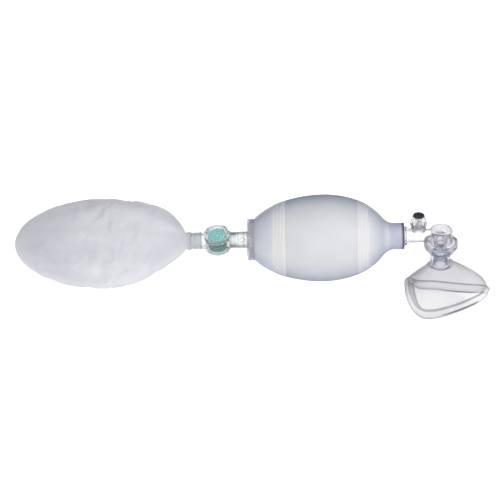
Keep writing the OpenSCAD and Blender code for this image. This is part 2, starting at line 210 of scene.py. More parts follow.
def clear_plastic(name, dark, light, rough=0.05, transmission=0.95, ior=1.3, edge=CLEAR_EDGE_SHADE,
                  shape=2.6):
    """Clear moulded plastic with faint flow lines and handling marks, and painted shade at its
    silhouette.
    """
    mat = make_material(name, light, Transmission_Weight=transmission, IOR=ior,
                        Specular_IOR_Level=0.5)
    vary_color(mat, noise(mat, scale=45, detail=2, stretch=(1, 1, 0.3)), dark, light)
    vary_rough(mat, noise(mat, scale=150, detail=4), max(0.01, rough - 0.02), rough + 0.05)
    flow_lines = noise(mat, scale=260, detail=2, stretch=(0.4, 1, 1))
    add_bump(mat, flow_lines, strength=0.04, distance=0.0003)
    return paint_edge_shade(mat, edge, shape)


def solid_plastic(name, dark, light, rough, grain=0.08):
    """Opaque moulding with a fine grain."""
    mat = make_material(name, light, Specular_IOR_Level=0.5)
    vary_color(mat, noise(mat, scale=120, detail=3), dark, light)
    vary_rough(mat, noise(mat, scale=400, detail=3), rough - 0.06, rough + 0.08)
    add_bump(mat, noise(mat, scale=1400, detail=2), grain, distance=0.0002)
    return mat


def film_material():
    """Frosted reservoir film: thin, soft sheen, cloudy streaks along its length."""
    mat = make_material("reservoir_film", (0.7, 0.7, 0.73), Transmission_Weight=0.12, IOR=1.2,
                        Specular_IOR_Level=0.4)
    streaks = noise(mat, scale=24, detail=4, stretch=(0.35, 1, 1))
    vary_color(mat, streaks, dark=(0.60, 0.60, 0.635), light=(0.73, 0.725, 0.755))
    vary_rough(mat, noise(mat, scale=35, detail=3), low=0.34, high=0.5)
    creases = noise(mat, scale=42, detail=3, stretch=(0.35, 1, 1))
    add_bump(mat, creases, strength=0.35, distance=0.003)
    return mat


def steel():
    """Drawn spring wire."""
    mat = make_material("spring_steel", (0.62, 0.62, 0.64), Metallic=1.0, Roughness=0.3)
    vary_rough(mat, noise(mat, scale=500, detail=2), low=0.22, high=0.4)
    return mat


# The edge colours below are painted shade: the base colour turns to them where the eye looks along
# the wall.
MATS = {
    "bag_end": silicone("bag_end", (0.93, 0.94, 0.975), (0.97, 0.975, 0.995), rough=0.3,
                        transmission=0.5, grain=0.10, edge=(0.05, 0.12, 0.32), shape=1.6),
    "bag_frosted": silicone("bag_frosted", (0.87, 0.87, 0.875), (0.93, 0.93, 0.93), rough=0.5,
                            transmission=0.4, grain=0.35, edge=(0.05, 0.11, 0.26), shape=1.35),
    "bag_band": silicone("bag_band", (0.95, 0.93, 0.90), (0.985, 0.965, 0.945), rough=0.42,
                         transmission=0.25, grain=0.2, edge=(0.14, 0.19, 0.31), shape=1.6),
    "neck_smoke": solid_plastic("neck_smoke", (0.030, 0.036, 0.085), (0.06, 0.065, 0.13),
                                rough=0.3),
    "bag_neck": silicone("bag_neck", (0.80, 0.81, 0.93), (0.86, 0.87, 0.97), rough=0.3,
                         transmission=0.5, grain=0.10, edge=(0.06, 0.10, 0.30), shape=1.3),
    "clear_housing": clear_plastic("clear_housing", (0.89, 0.91, 0.905), (0.93, 0.945, 0.94),
                                   ior=1.15, edge=(0, 0, 0), shape=1.6),
    "clear_tube": clear_plastic("clear_tube", (0.93, 0.945, 0.94), (0.96, 0.97, 0.965),
                                ior=1.12, edge=(0, 0, 0), shape=1.1),
    "clear_cap": clear_plastic("clear_cap", (0.90, 0.94, 0.935), (0.94, 0.965, 0.96),
                               rough=0.06, ior=1.15),
    "frosted_collar": clear_plastic("frosted_collar", (0.97, 0.97, 0.985), (0.99, 0.99, 0.998),
                                    rough=0.22, transmission=0.9, ior=1.06,
                                    edge=(0.66, 0.66, 0.74)),
    "teal": solid_plastic("teal_silicone", (0.38, 0.82, 0.80), (0.50, 0.90, 0.88), rough=0.42,
                          grain=0.2),
    "pale_flap": silicone("pale_flap", (0.50, 0.66, 0.66), (0.60, 0.76, 0.76), rough=0.4,
                          transmission=0.2, grain=0.1),
    "cuff": clear_plastic("cuff_vinyl", (0.87, 0.87, 0.91), (0.93, 0.93, 0.96), rough=0.3,
                          transmission=0.7, ior=1.2, edge=(0.16, 0.16, 0.20)),
    "film": film_material(),
    "clear_valve": clear_plastic("clear_valve", (0.91, 0.905, 0.925), (0.95, 0.945, 0.96),
                                 ior=1.12, edge=(0, 0, 0.01), shape=1.7),
    "clear_tower": clear_plastic("clear_tower", (0.95, 0.95, 0.96), (0.98, 0.98, 0.99),
                                 ior=1.06, edge=(0.12, 0.12, 0.14), shape=2.2),
    "smoke_bowl": clear_plastic("smoke_bowl", (0.87, 0.87, 0.92), (0.91, 0.91, 0.95),
                                rough=0.06, ior=1.05, edge=(0.06, 0.06, 0.13), shape=2.0),
    "gasket": clear_plastic("gasket_silicone", (0.90, 0.90, 0.92), (0.95, 0.95, 0.965),
                            rough=0.15, transmission=0.9, ior=1.05, edge=(0.5, 0.5, 0.55)),
    "steel": steel(),
    "white": solid_plastic("white_plastic", (0.78, 0.78, 0.75), (0.86, 0.86, 0.84), rough=0.4),
    "black": solid_plastic("black_plastic", (0.006, 0.006, 0.007), (0.014, 0.014, 0.016),
                           rough=0.4),
    "lips": clear_plastic("lip_silicone", (0.90, 0.87, 0.88), (0.95, 0.92, 0.93), rough=0.15,
                          transmission=0.85, ior=1.05, edge=(0.30, 0.27, 0.30)),
    "connector": clear_plastic("clear_connector", (0.90, 0.92, 0.96), (0.94, 0.955, 0.985),
                               rough=0.08, ior=1.15, edge=(0.10, 0.11, 0.18), shape=2.2),
    "mask_shell": clear_plastic("mask_shell", (0.745, 0.735, 0.745), (0.80, 0.79, 0.80),
                                rough=0.06, ior=1.05, edge=(0.01, 0.03, 0.06), shape=2.3),
    "cushion": clear_plastic("cushion_vinyl", (0.76, 0.76, 0.775), (0.82, 0.82, 0.835),
                             rough=0.1, transmission=0.92, ior=1.03, edge=(0.0, 0.0, 0.01),
                             shape=1.5),
    # painted shade: the ridges are the flaps' own teal, drawn darker to stand in for the shade
    # along them
    "shaded_teal_ridge": solid_plastic("shaded_teal_ridge", (0.11, 0.50, 0.50), (0.17, 0.58, 0.58),
                                rough=0.3, grain=0.1),
    "collar_grip": clear_plastic("collar_grip", (0.97, 0.97, 0.98), (0.99, 0.99, 0.995),
                                 rough=0.12, transmission=0.85, ior=1.1,
                                 edge=(0.22, 0.22, 0.28)),
    # painted shadow: the dark lines along the cushion's inner crease
    "seam": solid_plastic("painted_crease_shadow", (0.06, 0.06, 0.08), (0.11, 0.11, 0.13), rough=0.45),
}


# ---- meshes --------------------------------------------------------------------------------

def new_piece(name, verts, faces, mats):
    """A mesh piece from points in millimetres, still in the device's frame."""
    mesh = bpy.data.meshes.new(name)
    mesh.from_pydata([tuple(c * MM for c in v) for v in verts], [], faces)
    for mat in mats:
        mesh.materials.append(mat)
    obj = bpy.data.objects.new(name, mesh)
    bpy.context.scene.collection.objects.link(obj)
    tidy_mesh(mesh)
    return obj


def fit(obj, body, slot, *stands_for):
    """Carry a finished piece into the row frame and hand it to a CAD body."""
    obj.data.transform(TO_ROW)
    obj.data.update()
    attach(obj, body)
    if stands_for:
        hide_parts(*stands_for)
    return obj


WELD_DISTANCE = 1e-6             # metres


def tidy_mesh(mesh):
    """Weld the poles of a lathe, point the faces outwards and shade them smooth."""
    bm = bmesh.new()
    bm.from_mesh(mesh)
    bmesh.ops.remove_doubles(bm, verts=bm.verts, dist=WELD_DISTANCE)
    bmesh.ops.recalc_face_normals(bm, faces=bm.faces)
    bm.to_mesh(mesh)
    bm.free()
    mesh.shade_smooth()


def loft(rings, wrap=False, caps=True):
    """Points and faces of a skin over equal rings; wrap joins the last ring to the first."""
    count = len(rings[0])
    verts = [p for ring in rings for p in ring]
    faces = []
    pairs = len(rings) if wrap else len(rings) - 1
    for i in range(pairs):
        k = (i + 1) % len(rings)
        for j in range(count):
            n = (j + 1) % count
            faces.append((i * count + j, i * count + n, k * count + n, k * count + j))
    if caps and not wrap:
        faces.append(tuple(range(count)))
        faces.append(tuple(range((len(rings) - 1) * count, len(rings) * count)))
    return verts, faces


def lathe(outline, axis, segments=96):
    """Closed outline of (radius, along) points turned about X or Z."""
    rings = []
    for k in range(segments):
        a = 2 * math.pi * k / segments
        c, s = math.cos(a), math.sin(a)
        if axis == "x":
            rings.append([(t, r * c, r * s) for r, t in outline])
        else:
            rings.append([(r * c, r * s, t) for r, t in outline])
    return loft(rings, wrap=True)


# ---- squeeze bag ---------------------------------------------------------------------------

BAG_R = 65.6
BAG_MID = -177                   # where the bag is widest
BAG_FRONT = 100                  # how far its ellipse reaches before and behind that place
BAG_REAR = 118
BAG_WALL = 2.8
BAG_SEGMENTS = 112
BAG_STEP = 1.6                   # spacing of the outline's points, and of those on the ribs
RIB_STEP = 0.3
RIB_AHEAD = 1                    # the fine spacing starts this far before a band
NECK_R = 20
NECK_HOLDS = (-58, -62, -66)     # points on the straight neck; the first is its end
NECK_FROM = -78                  # the darker tone of the neck starts here
NECK_JOINT = -88.7               # where the neck's curve meets the ellipse
NECK_CURVE = 9                   # length of neck that takes part in that curve
CURVE_STEPS = 12
JOINT_LEAN = 0.9                 # the inner wall's shift at that joint and at the neck, as
NECK_LEAN = 1.07                 # shares of the wall
LIP_FRONT = -281
LIP_GAP = 2
# the rear lip as (radius, x from LIP_FRONT)
LIP_PROFILE = ((31.2, 0.2), (30, -0.4), (30, -6.5), (27.3, -6.5), (27.3, 1))
BANDS = ((-252, -233), (-126, -108))     # the two bands of fine ribs
BAND_EASE = 1.5
RIB_PITCH = 2.1
RIB_HEIGHT = 0.34
BAG_TONES = ("bag_end", "bag_band", "bag_frosted", "bag_neck")


def in_band(x):
    return any(a <= x <= b for a, b in BANDS)


def bag_radius(x, inset):
    """Radius of the bag's body at x; inset is the wall for its inner surface, 0 outside."""
    reach = (BAG_FRONT if x > BAG_MID else BAG_REAR) - inset
    return (BAG_R - inset) * math.sqrt(max(0.0, 1 - ((x - BAG_MID) / reach) ** 2))


def band_rib(x):
    """Height of the fine grip ribs that run round the bag in its two bands."""
    for a, b in BANDS:
        if a <= x <= b:
            edge = smooth_step((x - a) / BAND_EASE) * smooth_step((b - x) / BAND_EASE)
            return edge * RIB_HEIGHT * (1 + math.cos(2 * math.pi * (x - a) / RIB_PITCH))
    return 0.0


def bag_outline(inset, ribbed):
    """From the neck back to the rear shoulder, as (radius, x)."""
    joint_x = NECK_JOINT - inset * JOINT_LEAN
    joint_r = bag_radius(joint_x, inset)
    reach = BAG_FRONT - inset
    slope = (BAG_R - inset) ** 2 * (joint_x - BAG_MID) / (reach ** 2 * joint_r)
    neck = NECK_R - inset * NECK_LEAN
    knee_x = joint_x + (joint_r - neck) / slope
    points = [(neck, x) for x in NECK_HOLDS]
    start = Vector((neck, knee_x + NECK_CURVE))
    knee = Vector((neck, knee_x))
    end = Vector((joint_r, joint_x))
    for k in range(CURVE_STEPS + 1):
        t = k / CURVE_STEPS
        points.append(tuple(start.lerp(knee, t).lerp(knee.lerp(end, t), t)))
    x = joint_x - BAG_STEP
    while x > LIP_FRONT + LIP_GAP:
        rib = band_rib(x) if ribbed else 0
        points.append((bag_radius(x, inset) + rib, x))
        x -= RIB_STEP if ribbed and in_band(x - RIB_AHEAD) else BAG_STEP
    last = LIP_FRONT + BAG_STEP
    points.append((bag_radius(last, inset), last))
    return points


def bag_tone(x):
    """Which of the bag's materials covers it at x."""
    if in_band(x):
        return "bag_band"
    if BANDS[0][1] < x < BANDS[1][0]:
        return "bag_frosted"
    if x > NECK_FROM:
        return "bag_neck"
    return "bag_end"


def build_bag():
    """The silicone squeeze bag: one closed skin, outside and inside."""
    outer = bag_outline(0, True)
    inner = bag_outline(BAG_WALL, False)
    lip = [(r, LIP_FRONT + x) for r, x in LIP_PROFILE]
    verts, faces = lathe(outer + lip + inner[::-1], "x", BAG_SEGMENTS)
    bag = new_piece("bag_skin", verts, faces, [MATS[tone] for tone in BAG_TONES])
    for poly in bag.data.polygons:
        poly.material_index = BAG_TONES.index(bag_tone(poly.center.x / MM))
    return fit(bag, "bag", "silicone_bag", "squeeze_bag")


# ---- reservoir bag -------------------------------------------------------------------------

RES_MID = -505                   # where the reservoir is widest
RES_FAR = 143                    # how far it reaches behind and before that place
RES_NEAR = 124
RES_BASE = 67                    # half height of the outline, before it is made oval
RES_WIDE = 148 / 2
RES_THICK = 130.5 / 2
RES_NECK_R = 13.0
RES_SLEEVE = (-378, -381, -384, -386)
RES_SPAN = (17, 179.2)           # degrees along the outline that the film covers
RES_STEPS = 92
SHOULDER_POWER = 1.75            # the shoulder's curve; an ellipse has 2
SHOULDER_RISE = 7
OVAL_REACH = 25                  # growth of the half height over which the oval comes in
DENT_REACH = 14                  # and over which the dents do
AROUND = 128
HOLD_NECK = -390                 # the cloth is held fast before here, and past HOLD_TIP
HOLD_TIP = -640
HOLD_FADE = 42
HOLD_SEAM = 0.12
HOLD_FILM = 0.03
SEAM_SINE = 0.05                 # sine of half the angle that a side seam takes up
FILM_WALL = 0.4
FILM_CLOTH = {
    "quality": 6,
    "mass": 0.02,
    "tension_stiffness": 25,
    "compression_stiffness": 25,
    "shear_stiffness": 8,
    "bending_stiffness": 0.05,
    "vertex_group_mass": "hold",
    "pin_stiffness": 0.6,
    "use_pressure": True,
    "uniform_pressure_force": 0.6,
    "shrink_min": -0.02,
}
CLOTH_FRAMES = 24
CLOTH_TRAVEL = 2.4


def res_station(t):
    """(x, half height) at t degrees, from 0 at the neck to 180 at the far end."""
    c, s = math.cos(math.radians(t)), math.sin(math.radians(t))
    if t < 90:
        power = 2 / SHOULDER_POWER
        return RES_MID + RES_NEAR * max(0, c) ** power, RES_BASE * s ** power
    return RES_MID + RES_FAR * c, RES_BASE * max(0, s)


def res_ring(x, h):
    """One ring of the reservoir: round at the neck, oval and a little raised at the shoulder."""
    oval = min(1, max(0, (h - RES_NECK_R) / OVAL_REACH))
    wide = h * (1 + oval * (RES_WIDE / RES_BASE - 1))
    thick = h * (1 + oval * (RES_THICK / RES_BASE - 1))
    along = min(1, max(0, (RES_MID + RES_NEAR - x) / RES_NEAR))
    rise = oval * SHOULDER_RISE * (1 + math.cos(math.pi * along)) / 2
    ring = []
    for j in range(AROUND):
        a = 2 * math.pi * j / AROUND
        ring.append((x, wide * math.cos(a), rise + thick * math.sin(a)))
    return ring


def hump(value, centre, spread):
    """A smooth rise to 1 at the centre."""
    return math.exp(-((value - centre) / spread) ** 2)


def crumple(x, a):
    """How far the film stands in from its full shape, in millimetres: soft dents, pleats that
    fan out from the neck, and puckers along the two side seams."""
    u = (RES_MID + RES_NEAR - x) / (RES_NEAR + RES_FAR)
    pleats = hump(u, 0.10, 0.10) * (0.8 * math.sin(9 * a + 1.1) + 0.5 * math.sin(14 * a + 2.7))
    pleats += hump(u, 0.99, 0.07) * 0.6 * math.sin(11 * a + 0.6)
    pucker = hump(math.sin(a), 0, 0.16) * 0.5 * math.sin(0.17 * x + 0.8 * math.sin(0.05 * x))
    broad = 0.7 * math.sin(3 * a + 9 * u) + 0.5 * math.sin(5 * a - 7 * u + 1.3)
    return pleats + pucker + broad


def build_reservoir():
    """The film bag, from its sleeve on the cuff to its closed far end."""
    rings = [res_ring(x, RES_NECK_R) for x in RES_SLEEVE]
    first, last = RES_SPAN
    for i in range(RES_STEPS + 1):
        x, h = res_station(first + (last - first) * i / RES_STEPS)
        rings.append(res_ring(x, h))
    verts, faces = loft(rings, caps=False)
    faces.append(tuple(range(len(verts) - AROUND, len(verts))))
    dented = []
    for x, y, z in verts:
        a = math.atan2(z, y)
        reach = math.hypot(y, z)
        fade = smooth_step((reach - RES_NECK_R) / DENT_REACH)
        k = 1 - fade * crumple(x, a) / max(reach, 1)
        dented.append((x, y * k, z * k))
    bag = new_piece("reservoir_skin", dented, faces, [MATS["film"]])
    inflate(bag)
    wall = bag.modifiers.new("wall", "SOLIDIFY")
    wall.thickness = FILM_WALL * MM
    wall.offset = -1
    return fit(bag, "reservoir_bag", "reservoir_film", "reservoir_film")


def inflate(bag):
    """Settle the film as cloth with a little spare material, so that it wrinkles by itself."""
    rest = np.array([v.co for v in bag.data.vertices])
    hold = bag.vertex_groups.new(name="hold")
    for v in bag.data.vertices:
        seam = abs(math.sin(math.atan2(v.co.z, v.co.y))) < SEAM_SINE
        x = v.co.x / MM
        held = max(smooth_step((x - HOLD_NECK + HOLD_FADE) / HOLD_FADE),
                   smooth_step((HOLD_TIP + HOLD_FADE - x) / HOLD_FADE))
        weight = max(held, HOLD_SEAM if seam else HOLD_FILM)
        hold.add([v.index], weight, "REPLACE")
    cloth = bag.modifiers.new("film", "CLOTH")
    for key, value in FILM_CLOTH.items():
        setattr(cloth.settings, key, value)
    cloth.settings.effector_weights.gravity = 0
    cloth.collision_settings.use_collision = False
    run_cloth(bag, cloth, CLOTH_FRAMES)
    cap_travel(bag, rest, CLOTH_TRAVEL * MM)


def run_cloth(obj, cloth, frames):
    """Play the cloth, keep where its points end up, and take the modifier off again."""
    scene = bpy.context.scene
    cloth.point_cache.frame_start = 1
    cloth.point_cache.frame_end = frames
    for f in range(1, frames + 1):
        scene.frame_set(f)
    dg = bpy.context.evaluated_depsgraph_get()
    done = obj.evaluated_get(dg).to_mesh()
    moved = [v.co.copy() for v in done.vertices]
    obj.evaluated_get(dg).to_mesh_clear()
    obj.modifiers.remove(cloth)
    for v, co in zip(obj.data.vertices, moved):
        v.co = co
    scene.frame_set(1)


def cap_travel(obj, rest, limit):
    """Bring back any point that has moved further than limit from its place in rest."""
    for v, old in zip(obj.data.vertices, rest):
        move = v.co - Vector(old)
        if move.length > limit:
            v.co = Vector(old) + move * (limit / move.length)


# ---- mask ----------------------------------------------------------------------------------

MASK_LEN = 118                   # of the cushion's centre line, nose to chin
MASK_W = 41.5
MASK_MID = 12
MASK_WALL = 1.8
CUSHION_W = 15
CUSHION_H = 15
CUSHION_LOW = -119.76
CUSHION_SHARE = (0.8, 0.2)       # the cushion is thinner at the nose than at the chin
FRONT_SHAPE = (0.77, -0.49, 0.21)        # the front's width, in powers of the cosine
CHEEK = 118                      # degrees from the nose where the front gives way to the chin
CHIN_RISE = 24.5
CHIN_X = -46.5
CHIN_SQUARE = 0.64
NOSE_RISE = 11.1
PORT_R = 16.6                    # the dome's round top: outside, bore, height and backward tilt
PORT_BORE = 15.3
PORT_Z = -52.6
PORT_TILT = 1.6
SEAT_OUT = 0.35                  # where the dome meets the cushion, as shares of its section
SEAT_UP = 0.42
DOME_LINE = (0.36, 0.5)          # how straight the dome falls at the nose, and what the chin adds
DOME_STEPS = 36
WALL_TURN = 75                   # degrees that the wall's direction swings on its way down
ROUND = 180
SECTION = 40                     # points round the cushion's section
PINCH = 0.10                     # the section is lower by this share along its top
PINCH_SPREAD = 0.35
CREASE_R = 0.95
CREASE_TURN = -112               # degrees round the cushion's section, from its outside
CREASE_SPAN = (36, 100)          # degrees round the mask, from the nose
CREASE_STEPS = 60
CREASE_SECTION = 10
CREASE_TIP = 0.1
CREASE_TAPER = 0.4


def front_width(g):
    """Half width of the mask's front part at g degrees from the nose."""
    c = math.cos(math.radians(g))
    level, slope, bend = FRONT_SHAPE
    return MASK_W * math.sin(math.radians(g)) * (level + slope * c + bend * c * c)


def teardrop(f):
    """Centre line of the cushion, f in degrees from the nose."""
    f %= 360
    g, side = (360 - f, -1) if f > 180 else (f, 1)
    if g <= CHEEK:
        c = math.cos(math.radians(g))
        rise = NOSE_RISE * (1 - math.cos(math.radians(g - CHEEK)))
        return Vector((MASK_MID + MASK_LEN / 2 * c, side * front_width(g), CUSHION_LOW + rise))
    cheek_x = MASK_MID + MASK_LEN / 2 * math.cos(math.radians(CHEEK))
    t = math.radians(90 * (g - CHEEK) / (180 - CHEEK))
    s, c = max(0, math.sin(t)), max(0, math.cos(t))
    return Vector((lerp(cheek_x, CHIN_X, s ** CHIN_SQUARE),
                   side * front_width(CHEEK) * c ** CHIN_SQUARE, CUSHION_LOW + CHIN_RISE * s * s))


def outward(f):
    """Level direction out of the mask at f degrees."""
    d = teardrop(f + 1) - teardrop(f - 1)
    return Vector((d.y, -d.x, 0)).normalized()


def cushion_half(f):
    """Half the cushion's width at f degrees."""
    mean, swing = CUSHION_SHARE
    return CUSHION_W / 2 * (mean - swing * math.cos(math.radians(f)))


def port_ring(f, radius, z):
    """A point on the dome's round top, which leans back a little."""
    c, s = math.cos(math.radians(f)), math.sin(math.radians(f))
    return Vector((radius * c, radius * s, z + PORT_TILT * c))


def dome_point(f, s):
    """Outside of the dome at f degrees, s from 0 at its round top to 1 at the cushion."""
    top = port_ring(f, PORT_R, PORT_Z)
    base = teardrop(f) + outward(f) * SEAT_OUT * cushion_half(f)
    base = base + Vector((0, 0, SEAT_UP * CUSHION_H))
    side = math.sin(math.radians(90 * s))
    nose, chin = DOME_LINE
    line = nose + chin * ((1 - math.cos(math.radians(f))) / 2) ** 3
    drop = (1 - line) * (1 - math.cos(math.radians(90 * s))) + line * side
    return Vector((lerp(top.x, base.x, side), lerp(top.y, base.y, side), lerp(top.z, base.z, drop)))


def wall_direction(f, s):
    """From the dome's inside to its outside: up at the top, and mostly outward at the foot."""
    a = math.radians(WALL_TURN * s)
    out = outward(f)
    return Vector((out.x * math.sin(a), out.y * math.sin(a), math.cos(a)))


def build_dome():
    """The mask's clear shell, outside and inside."""
    shares = [i / DOME_STEPS for i in range(DOME_STEPS + 1)]
    rings = []
    for k in range(ROUND):
        f = 360 * k / ROUND
        ring = [port_ring(f, PORT_BORE, PORT_Z)]
        ring += [dome_point(f, s) for s in shares]
        ring += [dome_point(f, s) - MASK_WALL * wall_direction(f, s) for s in reversed(shares)]
        ring.append(port_ring(f, PORT_BORE, PORT_Z - MASK_WALL))
        rings.append([tuple(p) for p in ring])
    verts, faces = loft(rings, wrap=True)
    shell = new_piece("mask_shell", verts, faces, [MATS["mask_shell"]])
    return fit(shell, "mask", "mask_shell", "mask_dome")


def build_cushion():
    """The soft ring that seals on the face."""
    rings = []
    for k in range(ROUND):
        f = 360 * k / ROUND
        centre, out, half = teardrop(f), outward(f), cushion_half(f)
        ring = []
        for j in range(SECTION):
            a = 2 * math.pi * j / SECTION
            pinch = 1 - PINCH * hump(a, math.pi / 2, PINCH_SPREAD)
            ring.append(tuple(centre + out * half * math.cos(a)
                              + Vector((0, 0, CUSHION_H / 2 * math.sin(a) * pinch))))
        rings.append(ring)
    verts, faces = loft(rings, wrap=True)
    cushion = new_piece("face_cushion", verts, faces, [MATS["cushion"]])
    fit(cushion, "mask", "cushion_vinyl", "mask_cushion")


def build_crease_shadows():
    """Painted shadow: dark lines low on the inside of the cushion, along both cheeks, that stand in
    for the shade along its crease where it meets the table.
    """
    turn = math.radians(CREASE_TURN)
    first, last = CREASE_SPAN
    angles = [2 * math.pi * j / CREASE_SECTION for j in range(CREASE_SECTION)]
    for name, sign in (("far_crease_shadow", 1), ("near_crease_shadow", -1)):
        path, rings = [], []
        for k in range(CREASE_STEPS + 1):
            f = sign * lerp(first, last, k / CREASE_STEPS) % 360
            across = outward(f) * cushion_half(f) * math.cos(turn)
            path.append(teardrop(f) + across + Vector((0, 0, CUSHION_H / 2 * math.sin(turn))))
        for k, p in enumerate(path):
            ahead = (path[min(k + 1, CREASE_STEPS)] - path[max(k - 1, 0)]).normalized()
            side = ahead.cross(Vector((0, 0, 1))).normalized()
            up = side.cross(ahead)
            taper = max(CREASE_TIP, math.sin(math.pi * k / CREASE_STEPS)) ** CREASE_TAPER
            size = CREASE_R * taper
            rings.append([tuple(p + size * (math.cos(a) * side + math.sin(a) * up))
                          for a in angles])
        verts, faces = loft(rings)
        fit(new_piece(name, verts, faces, [MATS["seam"]]), "mask", "cushion_vinyl")


# ---- small moulded details -----------------------------------------------------------------

DRUM_X = -337
DRUM_ROLL = math.radians(12)
OVERFLOW_TOP = 10.0              # upper faces of the two flap discs, on the drum's axis
INLET_TOP = -10.8
FLAP_RINGS = (4.6, 8.6, 12.6)
RING_RISE = 0.3
RING_THICK = 0.75
BEAD_SECTION = 10                # points round a bead's section
MOULD_BEAD = 0.5
TUBE_R = 12.5
TUBE_RINGS = (-317, -306, -297)
CUFF_R = 12.6
CUFF_RING = -371
COLLAR_R = 31.4
COLLAR_RINGS = (-289.2, -282.6)
COLLAR_BEAD = 0.6
COLLAR_SEGMENTS = 144
COLLAR_LUGS = 20
LUG_LOW = (-288.4, -1.5, COLLAR_R - 0.5)
LUG_HIGH = (-283.4, 1.5, COLLAR_R + 0.7)
CORNER = math.radians(40)        # an edge that turns more than this is a corner


def bead(radius, along, thick, axis, segments=96):
    """A round ring bead about X or Z."""
    outline = [(radius + thick * math.cos(a), along + thick * math.sin(a))
               for a in (2 * math.pi * k / BEAD_SECTION for k in range(BEAD_SECTION))]
    return lathe(outline, axis, segments)


def join(*parts):
    """Several lists of points and faces as one."""
    verts, faces = [], []
    for v, f in parts:
        faces += [tuple(i + len(verts) for i in face) for face in f]
        verts += v
    return verts, faces


def on_drum(verts):
    """From the axis of the reservoir valve's drum, which is rolled a little, to the device."""
    c, s = math.cos(DRUM_ROLL), math.sin(DRUM_ROLL)
    return [(x + DRUM_X, y * c - z * s, y * s + z * c) for x, y, z in verts]


def box(low, high):
    """Points and faces of a block between two corners."""
    x, y, z = zip(low, high)
    verts = [(x[i], y[j], z[k]) for i in (0, 1) for j in (0, 1) for k in (0, 1)]
    faces = [(0, 1, 3, 2), (4, 6, 7, 5), (0, 4, 5, 1), (2, 3, 7, 6), (0, 2, 6, 4), (1, 5, 7, 3)]
    return verts, faces


def build_flap_rings():
    """Concentric moulded ridges on the two teal flap discs, in a darker teal that is painted shade
    along the ridges.
    """
    for name, body, top in (("overflow_flap_rings", "overflow_flap", OVERFLOW_TOP),
                            ("air_inlet_flap_rings", "air_inlet_flap", INLET_TOP)):
        verts, faces = join(*(bead(r, top + RING_RISE, RING_THICK, "z") for r in FLAP_RINGS))
        fit(new_piece(name, on_drum(verts), faces, [MATS["shaded_teal_ridge"]]), body, "teal_silicone")


def build_tube_rings():
    """Mould rings on the clear intake tube and on the reservoir cuff."""
    verts, faces = join(*(bead(TUBE_R, x, MOULD_BEAD, "x") for x in TUBE_RINGS))
    fit(new_piece("intake_tube_rings", verts, faces, [MATS["clear_housing"]]), "bag",
        "clear_housing")
    verts, faces = bead(CUFF_R, CUFF_RING, MOULD_BEAD, "x")
    fit(new_piece("cuff_ring", verts, faces, [MATS["cuff"]]), "reservoir_bag", "cuff_vinyl")


def build_collar_grip():
    """Two rings and a row of grip lugs round the intake collar."""
    parts = [bead(COLLAR_R, x, COLLAR_BEAD, "x", COLLAR_SEGMENTS) for x in COLLAR_RINGS]
    for k in range(COLLAR_LUGS):
        verts, faces = box(LUG_LOW, LUG_HIGH)
        turn = Matrix.Rotation(2 * math.pi * k / COLLAR_LUGS, 3, "X")
        parts.append(([tuple(turn @ Vector(v)) for v in verts], faces))
    verts, faces = join(*parts)
    grip = new_piece("collar_grip", verts, faces, [MATS["collar_grip"]])
    grip.data.set_sharp_from_angle(angle=CORNER)
    fit(grip, "bag", "frosted_collar")


# ---- relief tower --------------------------------------------------------------------------

RELIEF_X = -34
SKIRT_R = 13
SKIRT_RIBS = 26
SKIRT_FACETS = 8                 # points round the tower for each rib
RIB_FLOOR = 0.15                 # share of a rib's height that is left between the ribs
# the ribbed band as (out from SKIRT_R, height)
SKIRT_PROFILE = ((-0.5, 20.9), (0.05, 20.9), (0.5, 21.8), (0.5, 23.5), (0.05, 24.2), (-0.5, 24.2))


def build_skirt_ribs():
    """Fine grip ribs round the widest part of the relief tower."""
    rings = []
    count = SKIRT_RIBS * SKIRT_FACETS
    for k in range(count):
        a = 2 * math.pi * k / count
        tall = RIB_FLOOR + (1 - RIB_FLOOR) * (0.5 + 0.5 * math.cos(SKIRT_RIBS * a))
        ring = []
        for out, z in SKIRT_PROFILE:
            r = SKIRT_R + (out * tall if out > 0 else out)
            ring.append((RELIEF_X + r * math.cos(a), r * math.sin(a), z))
        rings.append(ring)
    verts, faces = loft(rings, wrap=True)
    fit(new_piece("relief_skirt_ribs", verts, faces, [MATS["clear_tower"]]), "patient_valve",
        "clear_valve")


def shorten_spring():
    """The relief spring shortens towards its cap as the plunger lifts; here it only gets a mesh of
    its own.
    """
    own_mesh(NODES["relief_spring"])


# ---- clear mouldings kept from the CAD -----------------------------------------------------

CAD_LOOKS = {
    "neck_bush": "neck_smoke",
    "intake_housing": "clear_tube",
    "intake_collar": "frosted_collar",
    "intake_seat": "clear_housing",
    "oxygen_nipple": "clear_housing",
    "intake_flap": "pale_flap",
    "reservoir_valve_body": "clear_housing",
    "overflow_seat": "clear_housing",
    "air_inlet_seat": "clear_housing",
    "overflow_cap": "clear_cap",
    "air_inlet_cap": "clear_cap",
    "overflow_flap": "teal",
    "air_inlet_flap": "teal",
    "reservoir_cuff": "cuff",
    "film_clamp_ring": "cuff",
    "valve_upper_housing": "clear_valve",
    "valve_lower_housing": "smoke_bowl",
    "valve_gasket": "gasket",
    "union_ring": "clear_valve",
    "relief_housing": "clear_tower",
    "relief_spring": "steel",
    "relief_plunger": "white",
    "relief_cap": "black",
    "lip_valve": "lips",
    "mask_connector": "connector",
    "inflation_plug": "cushion",
}
NO_EDGE = ("relief_spring",)
EDGE_WIDTH = 0.25
EDGE_SEGMENTS = 2


def dress_cad():
    """Give every CAD node that stays its material, and all but the spring a moulded edge."""
    for name, look in CAD_LOOKS.items():
        obj = NODES[name]
        obj.data.materials.clear()
        obj.data.materials.append(MATS[look])
        if name in NO_EDGE:
            continue
        bevel = obj.modifiers.new("moulded_edge", "BEVEL")
        bevel.width = EDGE_WIDTH * MM
        bevel.segments = EDGE_SEGMENTS
        bevel.limit_method = "ANGLE"
        bevel.angle_limit = CORNER
        bevel.use_clamp_overlap = True


# ---- stage ---------------------------------------------------------------------------------

